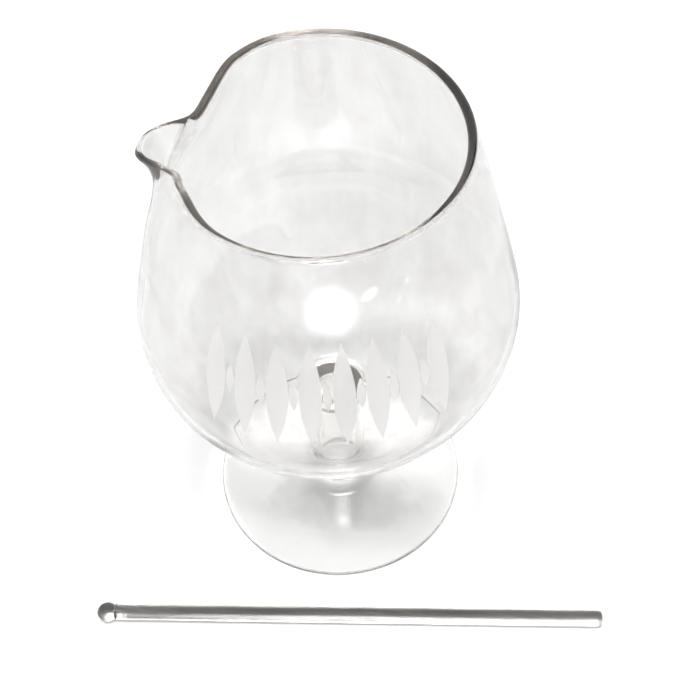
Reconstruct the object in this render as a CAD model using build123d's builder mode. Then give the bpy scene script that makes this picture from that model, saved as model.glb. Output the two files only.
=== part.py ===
from build123d import *
import os
from math import acos, asin, atan2, cos, degrees, exp, hypot, pi, radians, sin, tan

# A footed glass cocktail pitcher with a pulled pouring lip, and the glass stirring rod that lies before it.
# Millimetres and degrees. +Z is up, the origin is the middle of the foot on the table.
# The pouring lip points along -X, and the rod lies on the -Y side.

os.makedirs("parts", exist_ok=True)

# Foot: a thin disc that rises to the stem and is hollowed a little underneath
foot_radius = 50.0
foot_edge = 2.6
foot_slope = 5.5
foot_flare = 7.0
foot_land = 0.5
foot_rest_width = 2.7
foot_hollow = 3.4

# Stem: a straight glass tube, closed by the foot below and the bowl above
stem_radius = 10.75
stem_bore_radius = 7.4
stem_length = 47.0
stem_bore_end = 2.5

# Bowl: a round base, a round belly, and a wall that leans in to the rim
bowl_height = 135.4
belly_radius = 68.1
belly_round = 43.9
base_half_angle = 41.3
wall_round = 1400.0
wall = 2.4
floor_thickness = 3.6
rim_radius = 50.0
rim_thickness = 3.2
neck_land = 5.0
neck_flare = 4.2
weld = 0.3
hub_radius = 6.0
floor_flat_radius = 8.5
floor_flat_lap = 1.5

# Pouring lip: the wall is drawn out in the middle, pinched in beside that, and falls towards the tip
lip_height = 45.0
lip_reach = 13.7
lip_half_angle = 11.0
lip_squareness = 3.2
lip_lean = 60.0
pinch_depth = 3.5
pinch_full_angle = 27.0
pinch_end_angle = 64.0
rim_fall = 9.15
fall_full_angle = 15.4
fall_end_angle = 43.8
tip_fall = 3.0
tip_half_angle = 7.5
lip_sector = 65.0
lip_sections_a_side = 12
lip_section_crowding = 1.4

# Stirring rod: a straight rod with a ball on one end, lying on the table on its ball and its far end
rod_length = 200.0
shaft_radius = 3.2
shaft_neck_round = 0.6
shaft_end_round = 1.6
ball_radius = 4.0
rod_gap = 15.4
rod_turn = 8.0
rod_shift = 5.4

# Heights of the stack, from the table up
foot_edge_round = foot_edge / 2
foot_top_edge = foot_radius - foot_edge_round
flare_center_radius = stem_radius + foot_flare
flare_center_height = (
    foot_edge
    + (foot_top_edge - flare_center_radius) * tan(radians(foot_slope))
    + foot_flare / cos(radians(foot_slope))
)
foot_top = flare_center_height + foot_land
stem_top = foot_top + stem_length

# Bowl outline: the base arc is centred on the axis and runs into the belly arc
belly_center_radius = belly_radius - belly_round
base_round = belly_round + belly_center_radius / sin(radians(base_half_angle))
neck_flare_radius = stem_radius + neck_flare
base_rise_at_flare = base_round - (base_round**2 - neck_flare_radius**2) ** 0.5
base_z = stem_top + neck_land + neck_flare - base_rise_at_flare - weld
base_center = Vector(0, base_z + base_round)
belly_center = Vector(
    belly_center_radius,
    base_center.Y - (base_round - belly_round) * cos(radians(base_half_angle)),
)

# The inside of the floor is an arc of its own, so that the floor is thicker than the wall
floor_z = base_z + floor_thickness
belly_round_inside = belly_round - wall
floor_drop = belly_center.Y - floor_z
floor_round = (belly_center_radius**2 + floor_drop**2 - belly_round_inside**2) / (
    2 * (floor_drop - belly_round_inside)
)
floor_center = Vector(0, floor_z + floor_round)
floor_half_angle = degrees(asin(belly_center_radius / (floor_round - belly_round_inside)))

# The middle of the wall is a long arc from the belly to the middle of the rim's round edge
rim_middle = Vector(rim_radius - rim_thickness / 2, base_z + bowl_height - rim_thickness / 2)
belly_round_middle = belly_round - wall / 2
rim_from_belly = rim_middle - belly_center
rim_bearing = atan2(rim_from_belly.Y, rim_from_belly.X)
wall_reach = (
    2 * wall_round * belly_round_middle - belly_round_middle**2 - rim_from_belly.length**2
) / (2 * (wall_round - belly_round_middle))
wall_low_angle = degrees(rim_bearing - acos(wall_reach / rim_from_belly.length))
wall_center = belly_center - Vector(
    (wall_round - belly_round_middle) * cos(radians(wall_low_angle)),
    (wall_round - belly_round_middle) * sin(radians(wall_low_angle)),
)
wall_lip_angle = degrees(asin((rim_middle.Y - lip_height - wall_center.Y) / wall_round))
wall_rim_angle = degrees(asin((rim_middle.Y - wall_center.Y) / wall_round))


def heading(angle):
    """A step of length one at an angle from the level, in the plane of a section."""
    return Vector(cos(radians(angle)), sin(radians(angle)))


def fade(turn, full_angle, end_angle):
    """One within the full angle of the lip's middle, falling smoothly to nothing at the end angle."""
    share = min(max((abs(turn) - full_angle) / (end_angle - full_angle), 0.0), 1.0)
    return 1 - share**2 * (3 - 2 * share)


def rim_at(turn):
    """The middle of the rim's round edge, and the way the wall points there, at an angle from the lip."""
    drawn_out = exp(-((abs(turn) / lip_half_angle) ** lip_squareness))
    drooping = exp(-((turn / tip_half_angle) ** 2))
    pinched = fade(turn, pinch_full_angle, pinch_end_angle)
    fallen = fade(turn, fall_full_angle, fall_end_angle)
    middle = rim_middle + Vector(
        lip_reach * drawn_out - pinch_depth * pinched,
        -rim_fall * fallen - tip_fall * drooping,
    )
    lean = lip_lean * drawn_out - wall_rim_angle * (1 - drawn_out)
    return middle, heading(90 - lean)


def section_plane(turn):
    """The upright plane through the bowl's axis, at an angle from the middle of the lip."""
    bearing = radians(180 + turn)
    return Plane(
        origin=(0, 0, 0),
        x_dir=(cos(bearing), sin(bearing), 0),
        z_dir=(sin(bearing), -cos(bearing), 0),
    )


def draw_wall(turn):
    """Draw the outline of the bowl's glass, cut at an angle from the middle of the lip."""
    middle, along = rim_at(turn)
    across = Vector(along.Y, -along.X) * (rim_thickness / 2)
    wall_outward = heading(wall_lip_angle)
    wall_upward = heading(wall_lip_angle + 90)
    wall_middle = wall_center + wall_outward * wall_round
    wall_outside = wall_middle + wall_outward * (wall / 2)
    wall_inside = wall_middle - wall_outward * (wall / 2)
    base_start = degrees(asin(hub_radius / base_round))
    floor_start = degrees(asin(hub_radius / floor_round))
    base_arc = CenterArc(base_center, base_round, base_start - 90, base_half_angle - base_start)
    CenterArc(belly_center, belly_round, base_half_angle - 90, wall_low_angle + 90 - base_half_angle)
    CenterArc(wall_center, wall_round + wall / 2, wall_low_angle, wall_lip_angle - wall_low_angle)
    Spline(wall_outside, middle + across, tangents=(wall_upward, along))
    ThreePointArc(middle + across, middle + along * (rim_thickness / 2), middle - across)
    Spline(middle - across, wall_inside, tangents=(-along, -wall_upward))
    CenterArc(wall_center, wall_round - wall / 2, wall_lip_angle, wall_low_angle - wall_lip_angle)
    CenterArc(
        belly_center,
        belly_round_inside,
        wall_low_angle,
        floor_half_angle - 90 - wall_low_angle,
    )
    floor_arc = CenterArc(
        floor_center, floor_round, floor_half_angle - 90, floor_start - floor_half_angle
    )
    Line(floor_arc @ 1, base_arc @ 0)


# Foot
with BuildPart() as foot:
    with BuildSketch(Plane.XZ):
        with BuildLine():
            rest_inner_radius = foot_top_edge - foot_rest_width
            slope = radians(foot_slope)
            flare_foot = (
                flare_center_radius - foot_flare * sin(slope),
                flare_center_height - foot_flare * cos(slope),
            )
            flare_middle = (
                flare_center_radius - foot_flare * cos(slope / 2 - pi / 4),
                flare_center_height + foot_flare * sin(slope / 2 - pi / 4),
            )
            Line((rest_inner_radius, 0), (foot_top_edge, 0))
            ThreePointArc((foot_top_edge, 0), (foot_radius, foot_edge_round), (foot_top_edge, foot_edge))
            Line((foot_top_edge, foot_edge), flare_foot)
            ThreePointArc(flare_foot, flare_middle, (stem_radius, flare_center_height))
            Polyline(
                (stem_radius, flare_center_height),
                (stem_radius, foot_top),
                (stem_bore_radius, foot_top),
            )
            foot_bore_end = JernArc((stem_bore_radius, foot_top), (0, -1), stem_bore_end, -90)
            Polyline(foot_bore_end @ 1, (0, foot_top - stem_bore_end), (0, foot_hollow))
            hollow_round = (rest_inner_radius**2 + foot_hollow**2) / (2 * foot_hollow)
            RadiusArc((0, foot_hollow), (rest_inner_radius, 0), hollow_round)
        make_face()
    revolve(axis=Axis.Z)
foot.part.label = "foot"
export_step(foot.part, "parts/foot.step")

# Stem
with BuildPart() as stem:
    with BuildSketch(Plane.XY.offset(foot_top)):
        Circle(stem_radius)
        Circle(stem_bore_radius, mode=Mode.SUBTRACT)
    extrude(amount=stem_length)
stem.part.label = "stem"
export_step(stem.part, "parts/stem.step")

# Bowl
with BuildPart() as bowl:
    # The plain wall, all round but for the sector that the lip is pulled from
    with BuildSketch(section_plane(lip_sector)):
        with BuildLine():
            draw_wall(lip_sector)
        make_face()
    revolve(axis=Axis.Z, revolution_arc=360 - 2 * lip_sector)
    # The pouring lip, through sections that crowd towards its middle
    for step in range(-lip_sections_a_side, lip_sections_a_side + 1):
        share = abs(step) / lip_sections_a_side
        section_turn = lip_sector * share**lip_section_crowding * (1 if step > 0 else -1)
        with BuildSketch(section_plane(section_turn)):
            with BuildLine():
                draw_wall(section_turn)
            make_face()
    loft()
    # The middle of the floor, and the neck that is fused to the stem
    with BuildSketch(Plane.XZ):
        with BuildLine():
            floor_flat_z = floor_center.Y - (floor_round**2 - floor_flat_radius**2) ** 0.5
            flare_low = stem_top + neck_land
            neck_bore_end = JernArc((stem_bore_radius, stem_top), (0, 1), stem_bore_end, 90)
            Polyline(
                (stem_bore_radius, stem_top),
                (stem_radius, stem_top),
                (stem_radius, flare_low),
            )
            neck_arc = JernArc((stem_radius, flare_low), (0, 1), neck_flare, -90)
            Polyline(
                neck_arc @ 1,
                (floor_flat_radius + floor_flat_lap, floor_flat_z),
                (0, floor_flat_z),
                (0, stem_top + stem_bore_end),
                neck_bore_end @ 1,
            )
        make_face()
    revolve(axis=Axis.Z)
bowl.part.label = "bowl"
export_step(bowl.part, "parts/bowl.step")

# Stirring rod: it tilts so that both the ball and the shaft's far end touch the table
touch_length = rod_length - ball_radius - shaft_end_round
rod_tilt = asin(ball_radius / hypot(touch_length, shaft_radius)) - atan2(shaft_radius, touch_length)
rod_offset = foot_radius + rod_gap + shaft_radius
turn = radians(rod_turn)
rod_axis = Vector(cos(turn) * cos(rod_tilt), sin(turn) * cos(rod_tilt), -sin(rod_tilt))
ball_place = rod_shift - rod_length / 2 + ball_radius
ball_center = Vector(
    rod_offset * sin(turn) + ball_place * cos(turn),
    -rod_offset * cos(turn) + ball_place * sin(turn),
    ball_radius,
)
joint_radius = shaft_radius - shaft_neck_round
joint_distance = (ball_radius**2 - joint_radius**2) ** 0.5
joint_plane = Plane(origin=ball_center + rod_axis * joint_distance, z_dir=rod_axis)

with BuildPart() as stirrer_shaft:
    with BuildSketch(joint_plane):
        Circle(shaft_radius)
    extrude(amount=rod_length - ball_radius - joint_distance)
    shaft_ends = stirrer_shaft.edges().filter_by(GeomType.CIRCLE).sort_by(Axis(ball_center, rod_axis))
    fillet(shaft_ends[0], shaft_neck_round)
    fillet(shaft_ends[-1], shaft_end_round)
stirrer_shaft.part.label = "stirrer_shaft"
export_step(stirrer_shaft.part, "parts/stirrer_shaft.step")

with BuildPart(Plane(origin=ball_center, z_dir=rod_axis)) as stirrer_ball:
    Sphere(ball_radius)
    split(bisect_by=joint_plane, keep=Keep.BOTTOM)
stirrer_ball.part.label = "stirrer_ball"
export_step(stirrer_ball.part, "parts/stirrer_ball.step")
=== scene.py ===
"""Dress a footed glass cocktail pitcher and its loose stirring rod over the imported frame.

Lengths are in metres and angles in degrees, unless a name says otherwise. +Z is up, the origin
is the middle of the foot on the table, the pouring lip points along -X and the rod lies on the
-Y side.
"""

import logging
import math
from dataclasses import dataclass, field, replace
from enum import Enum
from functools import cached_property

import bpy
import numpy as np
from mathutils import Matrix, Vector


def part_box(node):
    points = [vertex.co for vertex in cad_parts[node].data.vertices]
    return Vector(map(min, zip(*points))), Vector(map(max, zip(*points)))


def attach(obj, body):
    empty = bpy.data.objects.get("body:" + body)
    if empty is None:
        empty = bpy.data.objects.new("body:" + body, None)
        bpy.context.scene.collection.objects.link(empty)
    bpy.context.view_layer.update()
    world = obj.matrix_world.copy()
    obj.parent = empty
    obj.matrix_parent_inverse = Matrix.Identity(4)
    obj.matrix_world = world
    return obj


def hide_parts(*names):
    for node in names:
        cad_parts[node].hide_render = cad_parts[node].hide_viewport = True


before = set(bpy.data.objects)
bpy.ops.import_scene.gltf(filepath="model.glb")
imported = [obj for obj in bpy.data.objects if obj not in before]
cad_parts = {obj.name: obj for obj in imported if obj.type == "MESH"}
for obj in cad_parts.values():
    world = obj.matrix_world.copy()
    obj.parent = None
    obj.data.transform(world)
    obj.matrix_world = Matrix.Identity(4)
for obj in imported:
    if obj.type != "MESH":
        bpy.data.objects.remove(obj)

LOG = logging.getLogger("cocktail_pitcher")
MM = 0.001
FLOOR_Z = -0.1 * MM
CARD_Z = -0.05 * MM
LEVEL_MARGIN = 0.001 * MM
LEVEL_PART = (1.0, 1.0, 0.0)
# A Mix node's colour sockets go by number, because other sockets of the node share their names.
MIX_FROM, MIX_TO, MIX_RESULT = 6, 7, 2
# Lies between no diffuse bounce and one.
HALF_BOUNCE = 0.5

Pair = tuple[float, float]
Triple = tuple[float, float, float]
Feeds = dict[str | int, object]
Socket = bpy.types.NodeSocket
Material = bpy.types.Material
Mesh = bpy.types.Mesh


class Body(Enum):
    """The CAD bodies that pieces ride on."""

    PITCHER = "pitcher"
    STIRRER = "stirrer"


class GlassSlot(Enum):
    """The record's material slots."""

    PITCHER = "pitcher_glass"
    ROD = "rod_glass"


class NodeBench:
    """A node tree being built, with short calls for nodes, wires and sums."""

    def __init__(self, tree: bpy.types.NodeTree) -> None:
        """Keep the tree that the nodes go into."""
        self.tree = tree

    def feed(self, target: Socket, value: object) -> None:
        """Wire a socket into the target, or set the target to a plain value."""
        if isinstance(value, Socket):
            self.tree.links.new(value, target)
        else:
            target.default_value = value

    def node(self, kind: str, feeds: Feeds | None = None, **fields: object) -> bpy.types.Node:
        """Add a node.

        Args:
            kind: Blender's name of the node type.
            feeds: A socket or a plain value for each named or numbered input.
            **fields: Node properties, which are set before the inputs.

        Returns:
            The new node.
        """
        made = self.tree.nodes.new(kind)
        for key, value in fields.items():
            setattr(made, key, value)
        for key, value in (feeds or {}).items():
            self.feed(made.inputs[key], value)
        return made

    def shader(
        self, kind: str, feeds: Feeds | None = None, pick: str | int = 0, **fields: object
    ) -> Socket:
        """Add a shader node, named without its prefix, and return the result that is picked."""
        return self.node("ShaderNode" + kind, feeds, **fields).outputs[pick]

    def form(self, kind: str, feeds: Feeds | None = None, **fields: object) -> Socket:
        """Add a geometry node, named without its prefix, and return its first result."""
        return self.node("GeometryNode" + kind, feeds, **fields).outputs[0]

    def sum(self, operation: str, *values: object) -> Socket:
        """Add a Math node with numbers or sockets in its inputs, and return its result."""
        return self.shader("Math", dict(enumerate(values)), operation=operation)

    def whole(self, operation: str, *values: object) -> Socket:
        """Add an Integer Math node in the same way, and return its result."""
        feeds = dict(enumerate(values))
        return self.node("FunctionNodeIntegerMath", feeds, operation=operation).outputs[0]

    def vector(self, *parts: object) -> Socket:
        """Add a Combine XYZ node and return its vector."""
        return self.shader("CombineXYZ", dict(enumerate(parts)))

    def split(self, vector: Socket) -> tuple[Socket, ...]:
        """Add a Separate XYZ node and return its three numbers."""
        return tuple(self.node("ShaderNodeSeparateXYZ", {0: vector}).outputs)

    def turned(self, reach: Socket, angle: Socket, height: Socket) -> Socket:
        """The point at a distance from the upright axis, an angle about it and a height."""
        cosine, sine = self.sum("COSINE", angle), self.sum("SINE", angle)
        across, back = self.sum("MULTIPLY", reach, cosine), self.sum("MULTIPLY", reach, sine)
        return self.vector(across, back, height)

    def length(self, vector: Socket, part: Triple | None = None) -> Socket:
        """The length of a vector, or of the part of it that is kept."""
        if part is not None:
            vector = self.shader("VectorMath", {0: vector, 1: part}, operation="MULTIPLY")
        return self.shader("VectorMath", {0: vector}, "Value", operation="LENGTH")

    def fade(
        self, value: Socket, start: float, end: float, low: float = 0.0, high: float = 1.0
    ) -> Socket:
        """Go smoothly from low to high while the value goes from start to end."""
        feeds = {"Value": value, "From Min": start, "From Max": end, "To Min": low, "To Max": high}
        return self.shader("MapRange", feeds, interpolation_type="SMOOTHSTEP")

    def place(self) -> Socket:
        """The place on a surface, as its material reads it."""
        return self.shader("TexCoord", pick="Object")

    def seen(self) -> Socket:
        """One for what the camera sees, directly, mirrored or through glass, none for light."""
        path = self.node("ShaderNodeLightPath").outputs
        seen = self.sum("MAXIMUM", path["Is Camera Ray"], path["Is Glossy Ray"])
        seen = self.sum("MAXIMUM", seen, path["Is Transmission Ray"])
        first = self.sum("LESS_THAN", path["Diffuse Depth"], HALF_BOUNCE)
        return self.sum("MULTIPLY", seen, first)

    def glass(
        self, colour: object, rough: object, ior: float, relief: Socket, tall: float
    ) -> Socket:
        """Add a see-through shader.

        Args:
            colour: Its colour.
            rough: Its roughness.
            ior: Its index of refraction.
            relief: The relief of its surface, from nothing to one.
            tall: How tall that relief is.

        Returns:
            The shader.
        """
        feeds = {
            "Base Color": colour,
            "Roughness": rough,
            "Transmission Weight": 1.0,
            "IOR": ior,
            "Normal": self.shader("Bump", {"Distance": tall, "Height": relief}),
        }
        return self.shader("BsdfPrincipled", feeds)


def empty_bench(owner: Material | bpy.types.World | bpy.types.Light) -> NodeBench:
    """Switch something to shader nodes, with none in it yet, and return the bench for them."""
    owner.use_nodes = True
    owner.node_tree.nodes.clear()
    return NodeBench(owner.node_tree)


def opaque(colour: Triple) -> tuple[float, float, float, float]:
    """A colour with full alpha."""
    return (*colour, 1.0)


def put_in_scene(name: str, data: bpy.types.ID) -> bpy.types.Object:
    """Make an object that shows some data, and link it into the scene."""
    made = bpy.data.objects.new(name, data)
    bpy.context.scene.collection.objects.link(made)
    return made


@dataclass(frozen=True)
class Finish:
    """A finish that is built as a node material."""

    name: str

    def surface(self, bench: NodeBench) -> dict[str, Socket]:
        """Build the finish's nodes.

        Args:
            bench: The material's tree.

        Returns:
            What goes into each named input of the material's output.
        """
        raise NotImplementedError

    def material(self) -> Material:
        """Build the material.

        Returns:
            The new material.
        """
        made = bpy.data.materials.new(self.name)
        bench = empty_bench(made)
        bench.node("ShaderNodeOutputMaterial", self.surface(bench))
        return made


@dataclass(frozen=True)
class ClearGlass(Finish):
    """Clear glass with faint waves and smears, a little grey where it is looked at lengthwise."""

    tint: Triple
    smear_tint: Triple
    depth_colour: Triple = (0.52, 0.48, 0.44)
    depth_density: float = 8.0
    ior: float = 1.5
    wave_scale: float = 32.0
    wave_detail: float = 1.0
    wave_height: float = 0.08 * MM
    smear_scale: float = 110.0
    smear_detail: float = 6.0
    smear_roughness: float = 0.65
    smear_range: Pair = (0.35, 0.7)
    stretch: Triple = (1.0, 1.0, 0.35)
    # Painted shade: how far from the axis the glass greys near its edge, and that grey.
    edge_shade_range: Pair | None = None
    edge_shade_tint: Triple = (0.45, 0.43, 0.41)

    def _edge(self, bench: NodeBench, colour: Socket) -> Socket:
        """Paint shade into the glass's colour near its round edge, for the dark line where light
        runs along inside it.
        """
        share = bench.fade(bench.length(bench.place(), LEVEL_PART), *self.edge_shade_range)
        feeds = {"Factor": share, MIX_FROM: colour, MIX_TO: opaque(self.edge_shade_tint)}
        return bench.shader("Mix", feeds, MIX_RESULT, data_type="RGBA")

    def surface(self, bench: NodeBench) -> dict[str, Socket]:
        """Build the wavy, smeared glass and the grey of its depth."""
        drawn = bench.shader("Mapping", {"Vector": bench.place(), "Scale": self.stretch})
        feeds = {"Vector": drawn, "Scale": self.wave_scale, "Detail": self.wave_detail}
        waves = bench.shader("TexNoise", feeds)
        feeds = {"Vector": drawn, "Scale": self.smear_scale, "Detail": self.smear_detail}
        smears = bench.shader("TexNoise", {**feeds, "Roughness": self.smear_roughness})
        ramp = bench.node("ShaderNodeValToRGB", {"Fac": smears})
        tints = (self.tint, self.smear_tint)
        for stop, place, tint in zip(ramp.color_ramp.elements, self.smear_range, tints):
            stop.position = place
            stop.color = opaque(tint)
        colour = ramp.outputs["Color"]
        if self.edge_shade_range:
            colour = self._edge(bench, colour)
        feeds = {"Color": opaque(self.depth_colour), "Density": self.depth_density}
        return {
            "Surface": bench.glass(colour, 0.0, self.ior, waves, self.wave_height),
            "Volume": bench.shader("VolumeAbsorption", feeds),
        }


@dataclass(frozen=True)
class FusedJoint(Finish):
    """The inside of a joint between fused pieces, where light passes straight through a seam."""

    name: str = "fused_joint"
    seam_tint: Triple = (0.74, 0.72, 0.7)

    def surface(self, bench: NodeBench) -> dict[str, Socket]:
        """Build the see-through seam, which is faintly grey."""
        return {"Surface": bench.shader("BsdfTransparent", {"Color": opaque(self.seam_tint)})}


@dataclass(frozen=True)
class Frosting(Finish):
    """An etched, frosted skin on the outside of the glass, with a fine grain."""

    name: str = "etched_frosting"
    colour: Triple = (0.97, 0.965, 0.96)
    ior: float = 1.5
    rough: Pair = (0.34, 0.5)
    grain_scale: float = 1800.0
    grain_height: float = 0.01 * MM

    def surface(self, bench: NodeBench) -> dict[str, Socket]:
        """Build the matt, grainy glass."""
        grain = bench.shader("TexNoise", {"Vector": bench.place(), "Scale": self.grain_scale})
        low, high = self.rough
        matt = bench.shader("MapRange", {"Value": grain, "To Min": low, "To Max": high})
        colour = opaque(self.colour)
        return {"Surface": bench.glass(colour, matt, self.ior, grain, self.grain_height)}


def arc(center: Pair, radius: float, start: float, end: float, steps: int) -> np.ndarray:
    """Points on an arc in the plane of a section.

    Args:
        center: Distance from the axis, and height, of the arc's centre.
        radius: The arc's radius.
        start: Angle from the level at which it starts.
        end: Angle from the level at which it ends.
        steps: How many runs it is divided into.

    Returns:
        One row of distance and height for each point.
    """
    angles = np.radians(np.linspace(start, end, steps + 1))
    reach, height = center
    return np.column_stack((reach + radius * np.cos(angles), height + radius * np.sin(angles)))


def run(start: Pair, end: Pair, steps: int) -> np.ndarray:
    """Points on a straight run between two points, in the plane of a section."""
    return np.linspace(start, end, steps + 1)


def easy_curve(
    start: np.ndarray, start_way: np.ndarray, end: np.ndarray, end_way: np.ndarray, steps: int
) -> np.ndarray:
    """Points on a smooth curve that leaves and arrives in given directions.

    Args:
        start: Where it starts.
        start_way: Its direction there, of length one.
        end: Where it ends.
        end_way: Its direction there, of length one.
        steps: How many runs it is divided into.

    Returns:
        One row of distance and height for each point.
    """
    reach = np.linalg.norm(end - start)
    t = np.linspace(0.0, 1.0, steps + 1)[:, None]
    return (
        (2 * t**3 - 3 * t**2 + 1) * start
        + (t**3 - 2 * t**2 + t) * reach * start_way
        + (3 * t**2 - 2 * t**3) * end
        + (t**3 - t**2) * reach * end_way
    )


def outline(*stretches: np.ndarray) -> np.ndarray:
    """Join stretches of points end to end, without the points that they share."""
    return np.vstack([stretches[0], *(stretch[1:] for stretch in stretches[1:])])


def heading(angle: float) -> np.ndarray:
    """A step of length one at an angle from the level."""
    return np.array((math.cos(math.radians(angle)), math.sin(math.radians(angle))))


class FormTree:
    """A Geometry Nodes tree with named inputs, whose result has a finish."""

    def __init__(self, name: str, result: str, inputs: dict[str, tuple[str, ...]]) -> None:
        """Start the tree.

        Args:
            name: The tree's name.
            result: The name of the geometry that comes out.
            inputs: The names of the inputs of each kind.
        """
        self.tree = bpy.data.node_groups.new(name, "GeometryNodeTree")
        self.names: dict[str, str] = {}
        new_socket = self.tree.interface.new_socket
        for kind, labels in inputs.items():
            for label in labels:
                socket = new_socket(label, in_out="INPUT", socket_type="NodeSocket" + kind)
                self.names[label] = socket.identifier
        new_socket(result, in_out="OUTPUT", socket_type="NodeSocketGeometry")
        self.bench = NodeBench(self.tree)
        self.given = self.bench.node("NodeGroupInput").outputs

    def end(self, geometry: Socket) -> None:
        """Give the tree's geometry its finish, and pass it out."""
        feeds = {"Geometry": geometry, "Material": self.given["Finish"]}
        self.bench.node("NodeGroupOutput", {0: self.bench.form("SetMaterial", feeds)})

    def evaluate(self, start: Mesh, name: str, settings: dict[str, object]) -> Mesh:
        """Run the tree on a mesh and keep the result as a plain mesh.

        Args:
            start: The mesh that goes into the tree.
            name: The name of the result.
            settings: What each named input is set to.

        Returns:
            The new mesh.
        """
        holder = put_in_scene(name + "_maker", start)
        modifier = holder.modifiers.new(self.tree.name, "NODES")
        modifier.node_group = self.tree
        for label, value in settings.items():
            modifier[self.names[label]] = value
        graph = bpy.context.evaluated_depsgraph_get()
        mesh = bpy.data.meshes.new_from_object(holder.evaluated_get(graph))
        mesh.name = name
        holder.modifiers.clear()
        bpy.data.objects.remove(holder)
        bpy.data.meshes.remove(start)
        return mesh


class TurningTree(FormTree):
    """Geometry Nodes that turn outlines about the upright axis into one closed mesh of glass."""

    WELD = 0.0005 * MM
    CREASE = 35.0
    INPUTS = {
        "Geometry": ("Outlines",),
        "Int": ("Rows", "Columns", "Outline Count"),
        "Float": ("Start Angle", "Weld Distance"),
        "Material": ("Finish",),
    }

    def __init__(self, joint: Material) -> None:
        """Lay a grid of rows and columns, and put each of its points on its turned outline.

        Args:
            joint: The finish of the faces where pieces are fused.
        """
        super().__init__("turned_glass", "Glass", self.INPUTS)
        self.joint = joint
        bench, given = self.bench, self.given
        rows, columns = given["Rows"], given["Columns"]
        index = bench.form("InputIndex")
        feeds = {"Vertices X": bench.whole("ADD", columns, 1), "Vertices Y": rows}
        grid = bench.form("MeshGrid", feeds)
        column = bench.whole("DIVIDE_FLOOR", index, rows)
        row = bench.whole("MODULO", index, rows)
        which = bench.whole("MODULO", column, given["Outline Count"])
        feeds = {
            "Geometry": given["Outlines"],
            "Value": bench.form("InputPosition"),
            "Index": bench.whole("ADD", bench.whole("MULTIPLY", which, rows), row),
        }
        sample = bench.form("SampleIndex", feeds, data_type="FLOAT_VECTOR", domain="POINT")
        reach, shift, height = bench.split(sample)
        share = bench.sum("DIVIDE", bench.whole("MODULO", column, columns), columns)
        angle = bench.sum("MULTIPLY_ADD", share, math.tau, given["Start Angle"])
        place = bench.turned(reach, bench.sum("ADD", angle, shift), height)
        turned = bench.form("SetPosition", {"Geometry": grid, "Position": place})
        feeds = {"Geometry": turned, "Distance": given["Weld Distance"]}
        smooth = bench.form("SetShadeSmooth", {"Geometry": bench.form("MergeByDistance", feeds)})
        self.end(bench.form("RealizeInstances", {0: smooth}))

    def turn(
        self,
        name: str,
        outlines: np.ndarray,
        columns: int,
        finish: Material,
        joints: tuple[float, ...],
        start: float = 0.0,
        shifts: np.ndarray | None = None,
    ) -> Mesh:
        """Turn one outline, or one for each column, into a plain mesh.

        Args:
            name: The mesh's name.
            outlines: Distances from the axis and heights, as outlines by rows by two.
            columns: How many steps make the full turn.
            finish: The glass.
            joints: The heights of the level faces where it is fused to other pieces.
            start: The angle of the first column.
            shifts: How far each outline is turned from its even place, where they are uneven.

        Returns:
            The closed mesh, with its faces outwards.
        """
        count, rows, _ = outlines.shape
        reach, height = outlines.reshape(-1, 2).T
        turned = np.zeros(count) if shifts is None else np.radians(shifts)
        corners = np.column_stack((reach, np.repeat(turned, rows), height))
        points = bpy.data.meshes.new(name + "_outline")
        points.from_pydata(corners.tolist(), [], [])
        settings = {
            "Rows": rows,
            "Columns": columns,
            "Outline Count": count,
            "Start Angle": math.radians(start),
            "Weld Distance": self.WELD,
            "Finish": finish,
        }
        mesh = self.evaluate(points, name, settings)
        face_outwards(mesh)
        mesh.set_sharp_from_angle(angle=math.radians(self.CREASE))
        mesh.materials.append(self.joint)
        for face in mesh.polygons:
            levels = [mesh.vertices[corner].co.z for corner in face.vertices]
            away = [max(abs(level - joint) for level in levels) for joint in joints]
            if min(away) < LEVEL_MARGIN:
                face.material_index = len(mesh.materials) - 1
        return mesh


def face_outwards(mesh: Mesh) -> None:
    """Turn the faces of a closed mesh outwards."""
    mesh.calc_loop_triangles()
    corners = np.zeros(len(mesh.vertices) * 3)
    mesh.vertices.foreach_get("co", corners)
    corners = corners.reshape(-1, 3)
    triangles = np.zeros(len(mesh.loop_triangles) * 3, dtype=np.int32)
    mesh.loop_triangles.foreach_get("vertices", triangles)
    a, b, c = (corners[triangles.reshape(-1, 3)[:, k]] for k in range(3))
    if np.einsum("ij,ij->i", a, np.cross(b, c)).sum() < 0:
        mesh.flip_normals()


def add_piece(mesh: Mesh, body: Body, node: str | None = None) -> None:
    """Put a finished mesh in the scene.

    Args:
        mesh: The finished mesh, in place.
        body: The body that it rides on.
        node: The CAD node that it stands for, if any.
    """
    piece = put_in_scene(mesh.name, mesh)
    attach(piece, body.value)
    if node:
        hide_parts(node)
    LOG.info("%s: %d faces, stands for %s", piece.name, len(mesh.polygons), node or "no CAD node")


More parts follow.
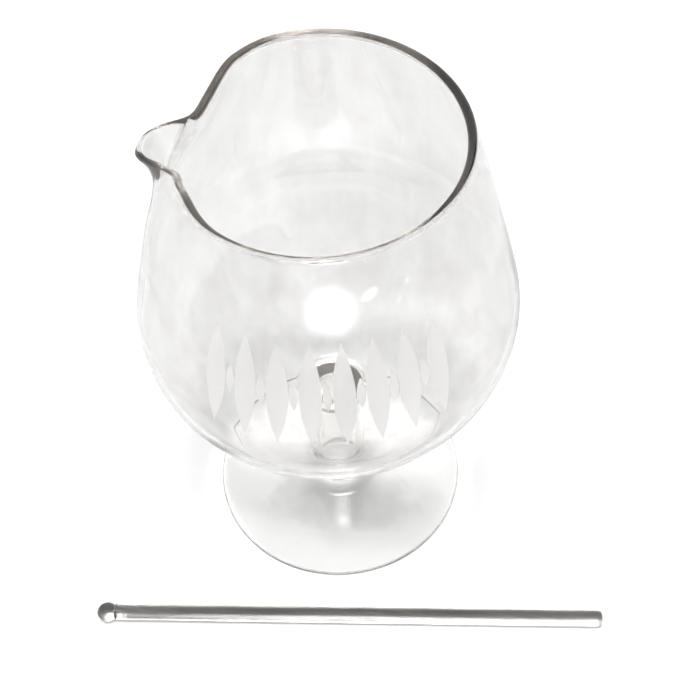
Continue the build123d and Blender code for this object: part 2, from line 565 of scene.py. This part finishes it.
@dataclass
class Stem:
    """The straight tube between the foot and the bowl."""

    radius: float = 10.75 * MM
    bore_radius: float = 7.4 * MM
    bore_end: float = 2.5 * MM
    columns: int = 128
    tube_steps: int = 12
    joint_steps: int = 2
    bore_steps: int = 8
    bore_flat_steps: int = 5

    @cached_property
    def low(self) -> float:
        """The height of the joint with the foot."""
        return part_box("stem")[0].z

    @cached_property
    def high(self) -> float:
        """The height of the joint with the bowl."""
        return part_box("stem")[1].z

    @cached_property
    def bore_flat(self) -> float:
        """The radius of the flat at each of the bore's rounded ends."""
        return self.bore_radius - self.bore_end

    def build(self, tree: TurningTree, glass: Material) -> None:
        """Make the tube.

        Args:
            tree: Turns the outline.
            glass: The finish of the tube.
        """
        bore, radius, low, high = self.bore_radius, self.radius, self.low, self.high
        shape = outline(
            run((bore, low), (radius, low), self.joint_steps),
            run((radius, low), (radius, high), self.tube_steps),
            run((radius, high), (bore, high), self.joint_steps),
            run((bore, high), (bore, low), self.tube_steps),
        )
        mesh = tree.turn("stem_glass", shape[None], self.columns, glass, (low, high))
        add_piece(mesh, Body.PITCHER, "stem")


@dataclass
class Foot:
    """The thin disc that rises to the stem and is hollowed a little underneath."""

    stem: Stem
    edge: float = 2.6 * MM
    slope: float = 5.5
    flare: float = 7.0 * MM
    land: float = 0.5 * MM
    rest_width: float = 2.7 * MM
    hollow: float = 3.4 * MM
    columns: int = 192
    hollow_steps: int = 32
    rest_steps: int = 2
    top_steps: int = 12

    def build(self, tree: TurningTree, glass: Material) -> None:
        """Make the disc.

        Args:
            tree: Turns the outline.
            glass: The finish of the disc.
        """
        stem, edge_round = self.stem, self.edge / 2
        top_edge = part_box("foot")[1].x - edge_round
        rest_inner = top_edge - self.rest_width
        flare_center = (stem.radius + self.flare, stem.low - self.land)
        slope = math.radians(self.slope)
        flare_low = (
            flare_center[0] - self.flare * math.sin(slope),
            flare_center[1] - self.flare * math.cos(slope),
        )
        hollow_round = (rest_inner**2 + self.hollow**2) / (2 * self.hollow)
        hollow_center = (0.0, self.hollow - hollow_round)
        hollow_angle = math.degrees(math.asin(rest_inner / hollow_round))
        bore_z = stem.low - stem.bore_end
        shape = outline(
            arc(hollow_center, hollow_round, 90.0, 90.0 - hollow_angle, self.hollow_steps),
            run((rest_inner, 0.0), (top_edge, 0.0), self.rest_steps),
            arc((top_edge, edge_round), edge_round, -90.0, 90.0, self.top_steps),
            run((top_edge, self.edge), flare_low, self.top_steps),
            arc(flare_center, self.flare, 270.0 - self.slope, 180.0, self.top_steps),
            run((stem.radius, flare_center[1]), (stem.radius, stem.low), 1),
            run((stem.radius, stem.low), (stem.bore_radius, stem.low), stem.joint_steps),
            arc((stem.bore_flat, stem.low), stem.bore_end, 0.0, -90.0, stem.bore_steps),
            run((stem.bore_flat, bore_z), (0.0, bore_z), stem.bore_flat_steps),
        )
        mesh = tree.turn("foot_glass", shape[None], self.columns, glass, (stem.low,))
        add_piece(mesh, Body.PITCHER, "foot")


@dataclass
class PouringLip:
    """How the rim is pulled out, pinched and let fall into a pouring lip."""

    height: float = 45.0 * MM
    reach: float = 13.7 * MM
    half_angle: float = 11.0
    squareness: float = 2.7
    lean: float = 48.0
    pinch_depth: float = 3.5 * MM
    pinch_full_angle: float = 27.0
    pinch_end_angle: float = 64.0
    rim_fall: float = 9.15 * MM
    fall_full_angle: float = 15.4
    fall_end_angle: float = 43.8
    tip_fall: float = 3.0 * MM
    tip_half_angle: float = 7.5

    @staticmethod
    def _fade(turn: float, full_angle: float, end_angle: float) -> float:
        """One out to the full angle from the lip, falling smoothly to nothing at the end angle."""
        share = min(max((abs(turn) - full_angle) / (end_angle - full_angle), 0.0), 1.0)
        return 1 - share**2 * (3 - 2 * share)

    def drawn_out(self, turn: float) -> float:
        """How far the wall is drawn out, from nothing to one, at an angle from the lip."""
        return math.exp(-((abs(turn) / self.half_angle) ** self.squareness))

    def move(self, turn: float) -> np.ndarray:
        """How the rim's middle moves, outwards and upwards, at an angle from the lip."""
        droop = math.exp(-((turn / self.tip_half_angle) ** 2))
        pinched = self._fade(turn, self.pinch_full_angle, self.pinch_end_angle)
        fallen = self._fade(turn, self.fall_full_angle, self.fall_end_angle)
        out = self.reach * self.drawn_out(turn) - self.pinch_depth * pinched
        return np.array((out, -self.rim_fall * fallen - self.tip_fall * droop))


@dataclass
class Bowl:
    """The blown bowl: a round base and belly, a wall that leans in, and a rim with a pulled lip."""

    stem: Stem
    lip: PouringLip = field(default_factory=PouringLip)
    height: float = 135.4 * MM
    belly_radius: float = 68.1 * MM
    belly_round: float = 43.9 * MM
    base_half_angle: float = 41.3
    base_gap: float = 0.2 * MM
    wall_round: float = 1400.0 * MM
    wall: float = 2.4 * MM
    floor_thickness: float = 3.6 * MM
    rim_radius: float = 50.0 * MM
    rim_thickness: float = 3.2 * MM
    neck_land: float = 5.0 * MM
    neck_flare: float = 4.2 * MM
    weld: float = 0.3 * MM
    floor_flat_radius: float = 8.5 * MM
    fine_angle: float = 25.0
    fine_step: float = 0.4
    coarse_step: float = 1.25
    lip_bearing: float = 180.0
    neck_steps: int = 2
    flare_steps: int = 48
    flare_stride: int = 4
    base_steps: int = 20
    belly_steps: int = 30
    wall_steps: int = 10
    lip_steps: int = 24
    rim_steps: int = 12
    floor_steps: int = 18
    floor_flat_steps: int = 6

    @cached_property
    def belly_center_radius(self) -> float:
        """The distance from the axis of the belly arc's centre."""
        return self.belly_radius - self.belly_round

    @cached_property
    def base_round(self) -> float:
        """The radius of the base's arc, which is centred on the axis."""
        spread = math.sin(math.radians(self.base_half_angle))
        return self.belly_round + self.belly_center_radius / spread

    @cached_property
    def flare_low(self) -> float:
        """The height at which the neck starts to widen."""
        return self.stem.high + self.neck_land

    @cached_property
    def base_z(self) -> float:
        """The height of the base arc's lowest point."""
        reach = self.stem.radius + self.neck_flare
        rise = self.base_round - math.sqrt(self.base_round**2 - reach**2)
        return self.flare_low + self.neck_flare - rise - self.weld

    @cached_property
    def belly_center(self) -> np.ndarray:
        """The centre of the belly's arc."""
        spread = math.cos(math.radians(self.base_half_angle))
        drop = (self.base_round - self.belly_round) * spread
        return np.array((self.belly_center_radius, self.base_z + self.base_round - drop))

    @cached_property
    def rim_middle(self) -> np.ndarray:
        """The middle of the rim's round edge, away from the lip."""
        half = self.rim_thickness / 2
        return np.array((self.rim_radius - half, self.base_z + self.height - half))

    @cached_property
    def wall_angles(self) -> Triple:
        """The wall arc's angles where it leaves the belly, where the lip starts, and at the rim."""
        middle_round = self.belly_round - self.wall / 2
        away = self.rim_middle - self.belly_center
        length = float(np.linalg.norm(away))
        reach = (2 * self.wall_round * middle_round - middle_round**2 - length**2) / (
            2 * (self.wall_round - middle_round)
        )
        low = math.degrees(math.atan2(away[1], away[0]) - math.acos(reach / length))
        center = self.belly_center - (self.wall_round - middle_round) * heading(low)
        rise = self.rim_middle[1] - center[1]
        lip = math.degrees(math.asin((rise - self.lip.height) / self.wall_round))
        rim = math.degrees(math.asin(rise / self.wall_round))
        return low, lip, rim

    @cached_property
    def underside(self) -> np.ndarray:
        """The outline from the axis in the stem's bore, round the neck and out along the base."""
        stem, flare_reach = self.stem, self.stem.radius + self.neck_flare
        flare = arc((flare_reach, self.flare_low), self.neck_flare, 180.0, 90.0, self.flare_steps)
        center_z = self.base_z + self.base_round
        under = flare[:, 1] < center_z - np.sqrt(self.base_round**2 - flare[:, 0] ** 2)
        flare = flare[under][:: self.flare_stride]
        start = math.degrees(math.asin((flare[-1, 0] + self.base_gap) / self.base_round)) - 90
        end = self.base_half_angle - 90
        base = arc((0.0, center_z), self.base_round, start, end, self.base_steps)
        bore_z = stem.high + stem.bore_end
        return outline(
            run((0.0, bore_z), (stem.bore_flat, bore_z), stem.bore_flat_steps),
            arc((stem.bore_flat, stem.high), stem.bore_end, 90.0, 0.0, stem.bore_steps),
            run((stem.bore_radius, stem.high), (stem.radius, stem.high), stem.joint_steps),
            run((stem.radius, stem.high), tuple(flare[0]), self.neck_steps),
            flare,
            np.vstack((flare[-1:], base)),
        )

    @cached_property
    def inside(self) -> np.ndarray:
        """The outline inside, from the wall's lower end down the belly and along the floor."""
        inside_round, reach = self.belly_round - self.wall, self.belly_center_radius
        floor_z = self.base_z + self.floor_thickness
        drop = self.belly_center[1] - floor_z
        floor_round = (reach**2 + drop**2 - inside_round**2) / (2 * (drop - inside_round))
        end = math.degrees(math.asin(reach / (floor_round - inside_round))) - 90
        flat = self.floor_flat_radius
        start = math.degrees(math.asin(flat / floor_round)) - 90
        center_z = floor_z + floor_round
        flat_z = center_z - math.sqrt(floor_round**2 - flat**2)
        low = self.wall_angles[0]
        return outline(
            arc(tuple(self.belly_center), inside_round, low, end, self.belly_steps),
            arc((0.0, center_z), floor_round, end, start, self.floor_steps),
            run((flat, flat_z), (0.0, flat_z), self.floor_flat_steps),
        )

    def section(self, turn: float) -> np.ndarray:
        """The outline of the glass, cut at an angle from the middle of the lip.

        Args:
            turn: The angle from the lip.

        Returns:
            Points from the axis under the floor, out and up to the rim, and back to the axis.
        """
        turn = (turn + 180.0) % 360.0 - 180.0
        half_rim, half_wall = self.rim_thickness / 2, self.wall / 2
        low, lip_angle, rim_angle = self.wall_angles
        center = self.belly_center - (self.wall_round - self.belly_round + half_wall) * heading(low)
        drawn = self.lip.drawn_out(turn)
        along = heading(90 - (self.lip.lean * drawn - rim_angle * (1 - drawn)))
        across = np.array((along[1], -along[0])) * half_rim
        middle = self.rim_middle + self.lip.move(turn)
        out, up = heading(lip_angle), heading(lip_angle + 90)
        outer, inner = self.wall_round + half_wall, self.wall_round - half_wall
        rim_way = math.degrees(math.atan2(across[1], across[0]))
        base_end = self.base_half_angle - 90
        return outline(
            self.underside,
            arc(tuple(self.belly_center), self.belly_round, base_end, low, self.belly_steps),
            arc(tuple(center), outer, low, lip_angle, self.wall_steps),
            easy_curve(center + out * outer, up, middle + across, along, self.lip_steps),
            arc(tuple(middle), half_rim, rim_way, rim_way + 180, self.rim_steps),
            easy_curve(middle - across, -along, center + out * inner, -up, self.lip_steps),
            arc(tuple(center), inner, lip_angle, low, self.wall_steps),
            self.inside,
        )

    def outside(self, turn: float) -> np.ndarray:
        """The outside of the glass, from low on the belly to the rim, at an angle from the lip."""
        shape = self.section(turn)
        low = int(np.argmax(shape[:, 1] >= self.belly_center[1] - self.belly_round / 2))
        return shape[low : int(np.argmax(shape[:, 1]))]

    def build(self, tree: TurningTree, glass: Material) -> None:
        """Make the bowl.

        Args:
            tree: Turns the outlines.
            glass: The finish of the bowl.
        """
        fine = np.arange(-self.fine_angle, self.fine_angle, self.fine_step)
        coarse = np.arange(self.fine_angle, 360.0 - self.fine_angle, self.coarse_step)
        turns = np.concatenate((fine, coarse))
        count, joints = len(turns), (self.stem.high,)
        sections = np.stack([self.section(turn) for turn in turns])
        shifts = turns - np.arange(count) * 360.0 / count
        mesh = tree.turn("bowl_glass", sections, count, glass, joints, self.lip_bearing, shifts)
        add_piece(mesh, Body.PITCHER, "bowl")


@dataclass
class FrostedBand:
    """A plain row of frosted petals on the belly's front, tall ones with small ones between."""

    bowl: Bowl
    tall_count: int = 8
    pitch: float = 10.8 * MM
    tall: Pair = (7.4 * MM, 44.0 * MM)
    small: Pair = (3.0 * MM, 13.0 * MM)
    skin: float = 0.03 * MM
    lift: float = 0.05 * MM
    bearing: float = -79.0
    height: float = 151.0 * MM
    points: tuple[int, int, int] = (7, 25, 2)
    blunt: float = 0.04

    def _petal(self, bench: NodeBench, size: Socket, skin: Socket) -> Socket:
        """One flat, closed petal, pointed at both ends.

        Args:
            bench: The tree that it is built in.
            size: The petal's width and height, as a vector.
            skin: Its thickness.

        Returns:
            The petal's geometry.
        """
        counts = zip(("Vertices X", "Vertices Y", "Vertices Z"), self.points)
        slab = bench.form("MeshCube", {"Size": (1.0, 1.0, 1.0), **dict(counts)})
        x, y, z = bench.split(bench.form("InputPosition"))
        wide, tall, _ = bench.split(size)
        from_middle = bench.sum("ABSOLUTE", bench.sum("MULTIPLY", y, 2.0))
        fullness = bench.sum("SUBTRACT", 1.0, bench.sum("POWER", from_middle, 2.0))
        fullness = bench.sum("MAXIMUM", fullness, self.blunt)
        place = bench.vector(
            bench.sum("MULTIPLY", bench.sum("MULTIPLY", x, wide), fullness),
            bench.sum("MULTIPLY", y, tall),
            bench.sum("MULTIPLY", z, skin),
        )
        return bench.form("SetPosition", {"Geometry": slab, "Position": place})

    def _row(self, bench: NodeBench, count: Socket, pitch: Socket, petal: Socket) -> Socket:
        """A row of petals with its middle at the origin.

        Args:
            bench: The tree that it is built in.
            count: How many petals.
            pitch: How far apart they are.
            petal: The petal.

        Returns:
            The row's geometry.
        """
        span = bench.sum("MULTIPLY", bench.sum("SUBTRACT", count, 1.0), pitch)
        start = bench.vector(bench.sum("MULTIPLY", span, -0.5), 0.0, 0.0)
        step = bench.vector(pitch, 0.0, 0.0)
        line = bench.form("MeshLine", {"Count": count, "Start Location": start, "Offset": step})
        return bench.form("InstanceOnPoints", {"Points": line, "Instance": petal})

    def _tree(self) -> FormTree:
        """Build the tree that lays the row and wraps it round the belly.

        Returns:
            The tree.
        """
        inputs = {
            "Geometry": ("Wall",),
            "Int": ("Tall Count",),
            "Float": ("Pitch", "Skin", "Lift", "Middle Radius", "Middle Length", "Bearing"),
            "Vector": ("Tall Size", "Small Size"),
            "Material": ("Finish",),
        }
        tree = FormTree("frosted_petals", "Band", inputs)
        bench, given = tree.bench, tree.given
        join = bench.node("GeometryNodeJoinGeometry")
        fewer = bench.whole("SUBTRACT", given["Tall Count"], 1)
        for count, size in ((given["Tall Count"], "Tall Size"), (fewer, "Small Size")):
            petal = self._petal(bench, given[size], given["Skin"])
            bench.feed(join.inputs[0], self._row(bench, count, given["Pitch"], petal))
        real = bench.form("RealizeInstances", {0: join.outputs[0]})
        x, y, z = bench.split(bench.form("InputPosition"))
        feeds = {
            "Curves": bench.form("MeshToCurve", {"Mesh": given["Wall"]}),
            "Length": bench.sum("ADD", y, given["Middle Length"]),
        }
        options = {"mode": "LENGTH", "use_all_curves": True}
        wall = bench.node("GeometryNodeSampleCurve", feeds, **options).outputs
        spot_out, _, spot_up = bench.split(wall["Position"])
        way_out, _, way_up = bench.split(wall["Tangent"])
        proud = bench.sum("ADD", given["Lift"], z)
        reach = bench.sum("MULTIPLY_ADD", proud, way_up, spot_out)
        height = bench.sum("MULTIPLY_ADD", proud, bench.sum("MULTIPLY", way_out, -1.0), spot_up)
        turn = bench.sum("ADD", bench.sum("DIVIDE", x, given["Middle Radius"]), given["Bearing"])
        feeds = {"Geometry": real, "Position": bench.turned(reach, turn, height)}
        tree.end(bench.form("SetPosition", feeds))
        return tree

    def build(self, frosting: Material) -> None:
        """Make the band.

        Args:
            frosting: The finish of the petals.
        """
        wall = self.bowl.outside(self.bearing - self.bowl.lip_bearing)
        strides = np.linalg.norm(np.diff(wall, axis=0), axis=1)
        lengths = np.concatenate(((0.0,), np.cumsum(strides)))
        start = bpy.data.meshes.new("frosted_band_wall")
        corners = [(reach, 0.0, height) for reach, height in wall]
        start.from_pydata(corners, [(k, k + 1) for k in range(len(wall) - 1)], [])
        settings = {
            "Tall Count": self.tall_count,
            "Pitch": self.pitch,
            "Tall Size": (*self.tall, 0.0),
            "Small Size": (*self.small, 0.0),
            "Skin": self.skin,
            "Lift": self.lift,
            "Middle Radius": float(np.interp(self.height, wall[:, 1], wall[:, 0])),
            "Middle Length": float(np.interp(self.height, wall[:, 1], lengths)),
            "Bearing": math.radians(self.bearing),
            "Finish": frosting,
        }
        mesh = self._tree().evaluate(start, "frosted_band", settings)
        add_piece(mesh, Body.PITCHER)


@dataclass
class StirringRod:
    """The loose rod: a straight shaft with a ball on one end, lying on its ball and far end."""

    foot_radius: float = 50.0 * MM
    length: float = 200.0 * MM
    shaft_radius: float = 3.2 * MM
    neck_round: float = 0.6 * MM
    end_round: float = 1.6 * MM
    ball_radius: float = 4.0 * MM
    gap: float = 15.4 * MM
    turn: float = 8.0
    shift: float = 5.4 * MM
    columns: int = 64
    joint_steps: int = 2
    neck_steps: int = 6
    shaft_steps: int = 40
    end_steps: int = 10
    end_flat_steps: int = 3
    ball_steps: int = 36

    @cached_property
    def joint_radius(self) -> float:
        """The radius of the joint between shaft and ball."""
        return self.shaft_radius - self.neck_round

    @cached_property
    def joint_distance(self) -> float:
        """How far that joint is from the ball's centre."""
        return math.sqrt(self.ball_radius**2 - self.joint_radius**2)

    @cached_property
    def place(self) -> Matrix:
        """From an upright rod with its ball's centre at the origin to where it lies."""
        touch = self.length - self.ball_radius - self.end_round
        tilt = math.asin(self.ball_radius / math.hypot(touch, self.shaft_radius))
        tilt -= math.atan2(self.shaft_radius, touch)
        turn = math.radians(self.turn)
        offset = self.foot_radius + self.gap + self.shaft_radius
        along = self.shift - self.length / 2 + self.ball_radius
        x = offset * math.sin(turn) + along * math.cos(turn)
        y = -offset * math.cos(turn) + along * math.sin(turn)
        lay = Matrix.Rotation(turn, 4, "Z") @ Matrix.Rotation(math.pi / 2 + tilt, 4, "Y")
        return Matrix.Translation((x, y, self.ball_radius)) @ lay

    def build(self, tree: TurningTree, glass: Material) -> None:
        """Make the shaft and the ball.

        Args:
            tree: Turns the outlines.
            glass: The finish of both.
        """
        low, high = self.joint_distance, self.length - self.ball_radius
        neck_z, end_z = low + self.neck_round, high - self.end_round
        end_radius = self.shaft_radius - self.end_round
        shaft = outline(
            run((0.0, low), (self.joint_radius, low), self.joint_steps),
            arc((self.joint_radius, neck_z), self.neck_round, -90.0, 0.0, self.neck_steps),
            run((self.shaft_radius, neck_z), (self.shaft_radius, end_z), self.shaft_steps),
            arc((end_radius, end_z), self.end_round, 0.0, 90.0, self.end_steps),
            run((end_radius, high), (0.0, high), self.end_flat_steps),
        )
        cut = math.degrees(math.asin(self.joint_distance / self.ball_radius))
        ball = outline(
            arc((0.0, 0.0), self.ball_radius, -90.0, cut, self.ball_steps),
            run((self.joint_radius, low), (0.0, low), self.joint_steps),
        )
        for name, node, shape in (
            ("rod_shaft", "stirrer_shaft", shaft),
            ("rod_ball", "stirrer_ball", ball),
        ):
            mesh = tree.turn(name, shape[None], self.columns, glass, (low,))
            mesh.transform(self.place)
            add_piece(mesh, Body.STIRRER, node)


def sheet(name: str, half_size: Pair, height: float, finish: Material) -> bpy.types.Object:
    """Put a flat, level rectangle in the scene.

    Args:
        name: Its name.
        half_size: Half its width and half its length.
        height: How far it lies over its object's origin.
        finish: Its material.

    Returns:
        The new object.
    """
    wide, long = half_size
    corners = ((-wide, -long), (wide, -long), (wide, long), (-wide, long))
    mesh = bpy.data.meshes.new(name)
    mesh.from_pydata([(*corner, height) for corner in corners], [], [(0, 1, 2, 3)])
    mesh.materials.append(finish)
    return put_in_scene(name, mesh)


@dataclass(frozen=True)
class SoftSpot:
    """An oval that is full in its middle and fades out to its edge."""

    center: Triple
    half_size: Pair
    depth: float
    core: float = 0.3
    turn: float = 0.0

    def level(self, bench: NodeBench) -> Socket:
        """The spot's depth at a place on the surface that carries it.

        Args:
            bench: The tree in which it is worked out.

        Returns:
            The depth, which is nothing outside the oval.
        """
        feeds = {
            "Vector": bench.place(),
            "Location": (*self.center[:2], 0.0),
            "Rotation": (0.0, 0.0, math.radians(self.turn)),
            "Scale": (*self.half_size, 1.0),
        }
        place = bench.shader("Mapping", feeds, vector_type="TEXTURE")
        return bench.fade(bench.length(place, LEVEL_PART), 1.0, self.core, high=self.depth)


def table_spot(x: float, y: float, half_size: Pair, *fields: float) -> SoftSpot:
    """A soft spot on the table.

    Args:
        x: Its middle across the picture, in millimetres.
        y: Its middle towards the back, in millimetres.
        half_size: Half its width and half its length, in millimetres.
        *fields: The spot's depth, and its core and turn where they aren't the usual ones.

    Returns:
        The spot.
    """
    wide, long = half_size
    return SoftSpot((x * MM, y * MM, CARD_Z), (wide * MM, long * MM), *fields)


# Painted light: soft pools of glow on the table, under the foot, at its front and behind the
# pitcher, which lighten the shadow seen there.
PAINTED_LIGHT_POOLS = (
    table_spot(0.0, -8.0, (60.0, 50.0), 0.32, 0.82),
    table_spot(0.0, -42.0, (56.0, 22.0), 0.09, 0.4),
    table_spot(0.0, 47.0, (92.0, 65.0), 0.15, 0.6),
)


@dataclass(frozen=True)
class TableTop(Finish):
    """A plain pale table, lifted a little towards white where it is seen, with painted pools of
    light under and behind the pitcher.
    """

    name: str = "studio_floor"
    size: float = 6.0
    colour: Triple = (0.9, 0.9, 0.9)
    lift: float = 0.06
    camera_lift: float = 0.26
    far_range: Pair = (0.5, 2.0)
    far_share: float = 0.4

    def surface(self, bench: NodeBench) -> dict[str, Socket]:
        """Build the matt table, with a glow that is stronger far off, and painted light in the soft
        pools.
        """
        matt = bench.shader("BsdfDiffuse", {"Color": opaque(self.colour)})
        whiten = bench.fade(bench.length(bench.place()), *self.far_range)
        direct = bench.shader("LightPath", pick="Is Camera Ray")
        share = bench.sum("MAXIMUM", direct, self.far_share)
        lift = bench.sum("MULTIPLY_ADD", whiten, share, self.lift)
        # Painted light: each pool adds its glow to the table's lift.
        for spot in PAINTED_LIGHT_POOLS:
            lift = bench.sum("ADD", lift, spot.level(bench))
        lift = bench.sum("MULTIPLY_ADD", direct, self.camera_lift, lift)
        glow = bench.shader("Emission", {"Strength": bench.sum("MULTIPLY", bench.seen(), lift)})
        return {"Surface": bench.shader("AddShader", {0: matt, 1: glow})}

    def build(self) -> None:
        """Lay the table under the object."""
        half = self.size / 2
        floor = sheet(self.name, (half, half), FLOOR_Z, self.material())


@dataclass(frozen=True)
class Shade(Finish):
    """A soft dark card of painted shade, on the table or over it, that shows only in the glass and
    through it.
    """

    spot: SoftSpot
    facing: Triple = (0.0, 0.0, 1.0)
    colour: float = 0.02

    def surface(self, bench: NodeBench) -> dict[str, Socket]:
        """Build the dark, with edges that fade out."""
        clear = bench.shader("BsdfTransparent")
        dark = bench.shader("BsdfDiffuse", {"Color": opaque((self.colour,) * 3)})
        share = replace(self.spot, center=(0.0, 0.0, 0.0), turn=0.0).level(bench)
        return {"Surface": bench.shader("MixShader", {"Fac": share, 1: clear, 2: dark})}

    def build(self) -> None:
        """Put the card in its place."""
        card = sheet(self.name, self.spot.half_size, 0.0, self.material())
        facing = Vector(self.facing).to_track_quat("Z", "Y").to_matrix().to_4x4()
        turn = Matrix.Rotation(math.radians(self.spot.turn), 4, "Z")
        card.matrix_world = Matrix.Translation(self.spot.center) @ facing @ turn
        card.visible_camera = False
        card.visible_diffuse = False
        card.visible_shadow = False


# Painted shade: dark cards on the table where the pitcher and rod would shade it and where dark
# streaks show in the glass, and one over it to the right.
ABOVE = SoftSpot((0.78, 0.0, 0.65), (1.1, 0.55), 1.0, 0.75)
SHADES = (
    Shade("shade_right", table_spot(92.0, 114.0, (44.0, 76.0), 0.32, 0.3)),
    Shade("shade_left", table_spot(-128.0, 105.0, (26.0, 62.0), 0.1)),
    Shade("shade_low_left", table_spot(-68.0, -40.0, (14.0, 32.0), 0.6, 0.2, 20.0)),
    Shade("shade_stem", table_spot(2.0, -12.0, (50.0, 29.0), 0.48, 0.05)),
    Shade("shade_rod", table_spot(14.9, -67.2, (200.0, 1.0), 0.7, 0.5, 8.0)),
    Shade("shade_rod_back", table_spot(14.58, -64.92, (200.0, 0.8), 0.6, 0.4, 8.0)),
    Shade("shade_behind", table_spot(5.0, 150.0, (80.0, 62.0), 0.12)),
    Shade("shade_above", ABOVE, (-0.78, 0.0, -0.65)),
)


@dataclass
class Studio:
    """The table, the soft light and the camera."""

    elevation: float = 54.766
    azimuth: float = 12.0
    roll: float = -2.978
    distance: float = 541.29 * MM
    target: Triple = (6.62 * MM, 1.41 * MM, 87.67 * MM)
    lens: float = 74.06
    clip_start: float = 0.01
    world_level: float = 0.12
    lamp_distance: float = 3.0
    key_level: float = 0.95
    key_elevation: float = 81.0
    key_bearing: float = -82.0
    key_half_width: float = 20.0
    key_fade: Pair = (0.1, 0.5)
    key_fade_power: float = 2.0
    key_fill: float = 0.2686
    glint_level: float = 6.0
    glint_elevation: float = 68.0
    glint_bearing: float = -140.0
    glint_size: Pair = (0.25, 0.5)
    bounces: int = 200
    indirect_clamp: float = 20.0

    def add_camera(self) -> None:
        """Set the camera at the photograph's viewing angle."""
        a, e, r = (math.radians(v) for v in (self.azimuth, self.elevation, self.roll))
        right = Vector((math.cos(a), math.sin(a), 0.0))
        back = Vector((math.cos(e) * math.sin(a), -math.cos(e) * math.cos(a), math.sin(e)))
        up = back.cross(right)
        across = right * math.cos(r) + up * math.sin(r)
        upward = up * math.cos(r) - right * math.sin(r)
        data = bpy.data.cameras.new("camera")
        data.lens = self.lens
        data.clip_start = self.clip_start
        camera = put_in_scene("camera", data)
        turn = Matrix((across, upward, back)).transposed().to_4x4()
        place = Vector(self.target) + back * self.distance
        camera.matrix_world = Matrix.Translation(place) @ turn
        bpy.context.scene.camera = camera

    def add_world(self) -> None:
        """Light the scene evenly from all round, with a white background."""
        world = bpy.data.worlds.new("studio_world")
        bench = empty_bench(world)
        feeds = {"Value": bench.seen(), "To Min": self.world_level, "To Max": 1.0}
        level = bench.shader("MapRange", feeds)
        white = opaque((1.0, 1.0, 1.0))
        light = bench.shader("Background", {"Color": white, "Strength": level})
        bench.node("ShaderNodeOutputWorld", {"Surface": light})
        bpy.context.scene.world = world

    def _hang(self, name: str, shape: str, elevation: float, bearing: float) -> bpy.types.Object:
        """Hang an area lamp over the table, facing its middle.

        Args:
            name: The lamp's name.
            shape: Blender's name of the lamp's shape.
            elevation: How high it hangs.
            bearing: On which side it hangs.

        Returns:
            The lamp.
        """
        rise, side = math.radians(elevation), math.radians(bearing)
        level = math.cos(rise)
        way = Vector((level * math.cos(side), level * math.sin(side), math.sin(rise)))
        data = bpy.data.lights.new(name, "AREA")
        data.shape = shape
        lamp = put_in_scene(name, data)
        lamp.location = way * self.lamp_distance
        lamp.rotation_mode = "QUATERNION"
        lamp.rotation_quaternion = way.to_track_quat("Z", "Y")
        return lamp

    def add_lamps(self) -> None:
        """Hang a wide soft lamp, and a small one that shows as a highlight on the glass."""
        key = self._hang("key_lamp", "DISK", self.key_elevation, self.key_bearing)
        key.data.size = 2 * self.lamp_distance * math.tan(math.radians(self.key_half_width))
        share = math.sin(math.radians(self.key_elevation)) * self.key_fill
        key.data.energy = self.key_level * (math.pi * self.lamp_distance) ** 2 / share
        key.visible_glossy = False
        bench = empty_bench(key.data)
        place = bench.shader("NewGeometry", pick="Parametric")
        middle = bench.shader("VectorMath", {0: place, 1: (0.5, 0.5, 0.0)}, operation="SUBTRACT")
        fade = bench.fade(bench.length(middle), *self.key_fade, 1.0, 0.0)
        strength = bench.sum("POWER", fade, self.key_fade_power)
        glow = bench.shader("Emission", {"Strength": strength})
        bench.node("ShaderNodeOutputLight", {"Surface": glow})
        glint = self._hang("glint_lamp", "ELLIPSE", self.glint_elevation, self.glint_bearing)
        wide, tall = self.glint_size
        glint.data.size, glint.data.size_y = wide, tall
        glint.data.energy = self.glint_level * math.pi**2 / 4 * wide * tall
        glint.visible_transmission = False
        glint.visible_diffuse = False

    def build(self) -> None:
        """Set up the table, light and camera."""
        self.add_world()
        for part in (TableTop(), *SHADES):
            part.build()
        self.add_lamps()
        self.add_camera()
        scene = bpy.context.scene
        scene.view_settings.view_transform = "Standard"
        scene.cycles.max_bounces = self.bounces
        scene.cycles.transmission_bounces = self.bounces
        scene.cycles.glossy_bounces = self.bounces
        scene.cycles.blur_glossy = 0.0
        scene.cycles.sample_clamp_indirect = self.indirect_clamp


def main() -> None:
    """Build the pieces in order, from the foot up, then the rod and the studio."""
    logging.basicConfig(level=logging.INFO, format="%(name)s %(message)s")
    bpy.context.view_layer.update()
    clear = ClearGlass("pitcher_glass", (0.995, 0.995, 0.99), (0.91, 0.905, 0.9))
    glass = clear.material()
    # The foot's glass has painted shade along its round edge.
    foot_glass = replace(clear, name="foot_glass", edge_shade_range=(49.0 * MM, 49.5 * MM)).material()
    # The rod's glass is greyer than the pitcher's, with darker streaks along its length: partly a
    # tint of the glass, partly painted shade for the dark that the rod shows along its top.
    rod = ClearGlass("rod_glass", (0.86, 0.845, 0.83), (0.52, 0.5, 0.48))
    rod_glass = replace(rod, smear_scale=450.0, stretch=(0.03, 1.0, 1.0)).material()
    tree = TurningTree(FusedJoint().material())
    stem = Stem()
    Foot(stem).build(tree, foot_glass)
    stem.build(tree, glass)
    bowl = Bowl(stem)
    bowl.build(tree, glass)
    FrostedBand(bowl).build(Frosting().material())
    StirringRod().build(tree, rod_glass)
    Studio().build()


if __name__ == "__main__":
    main()
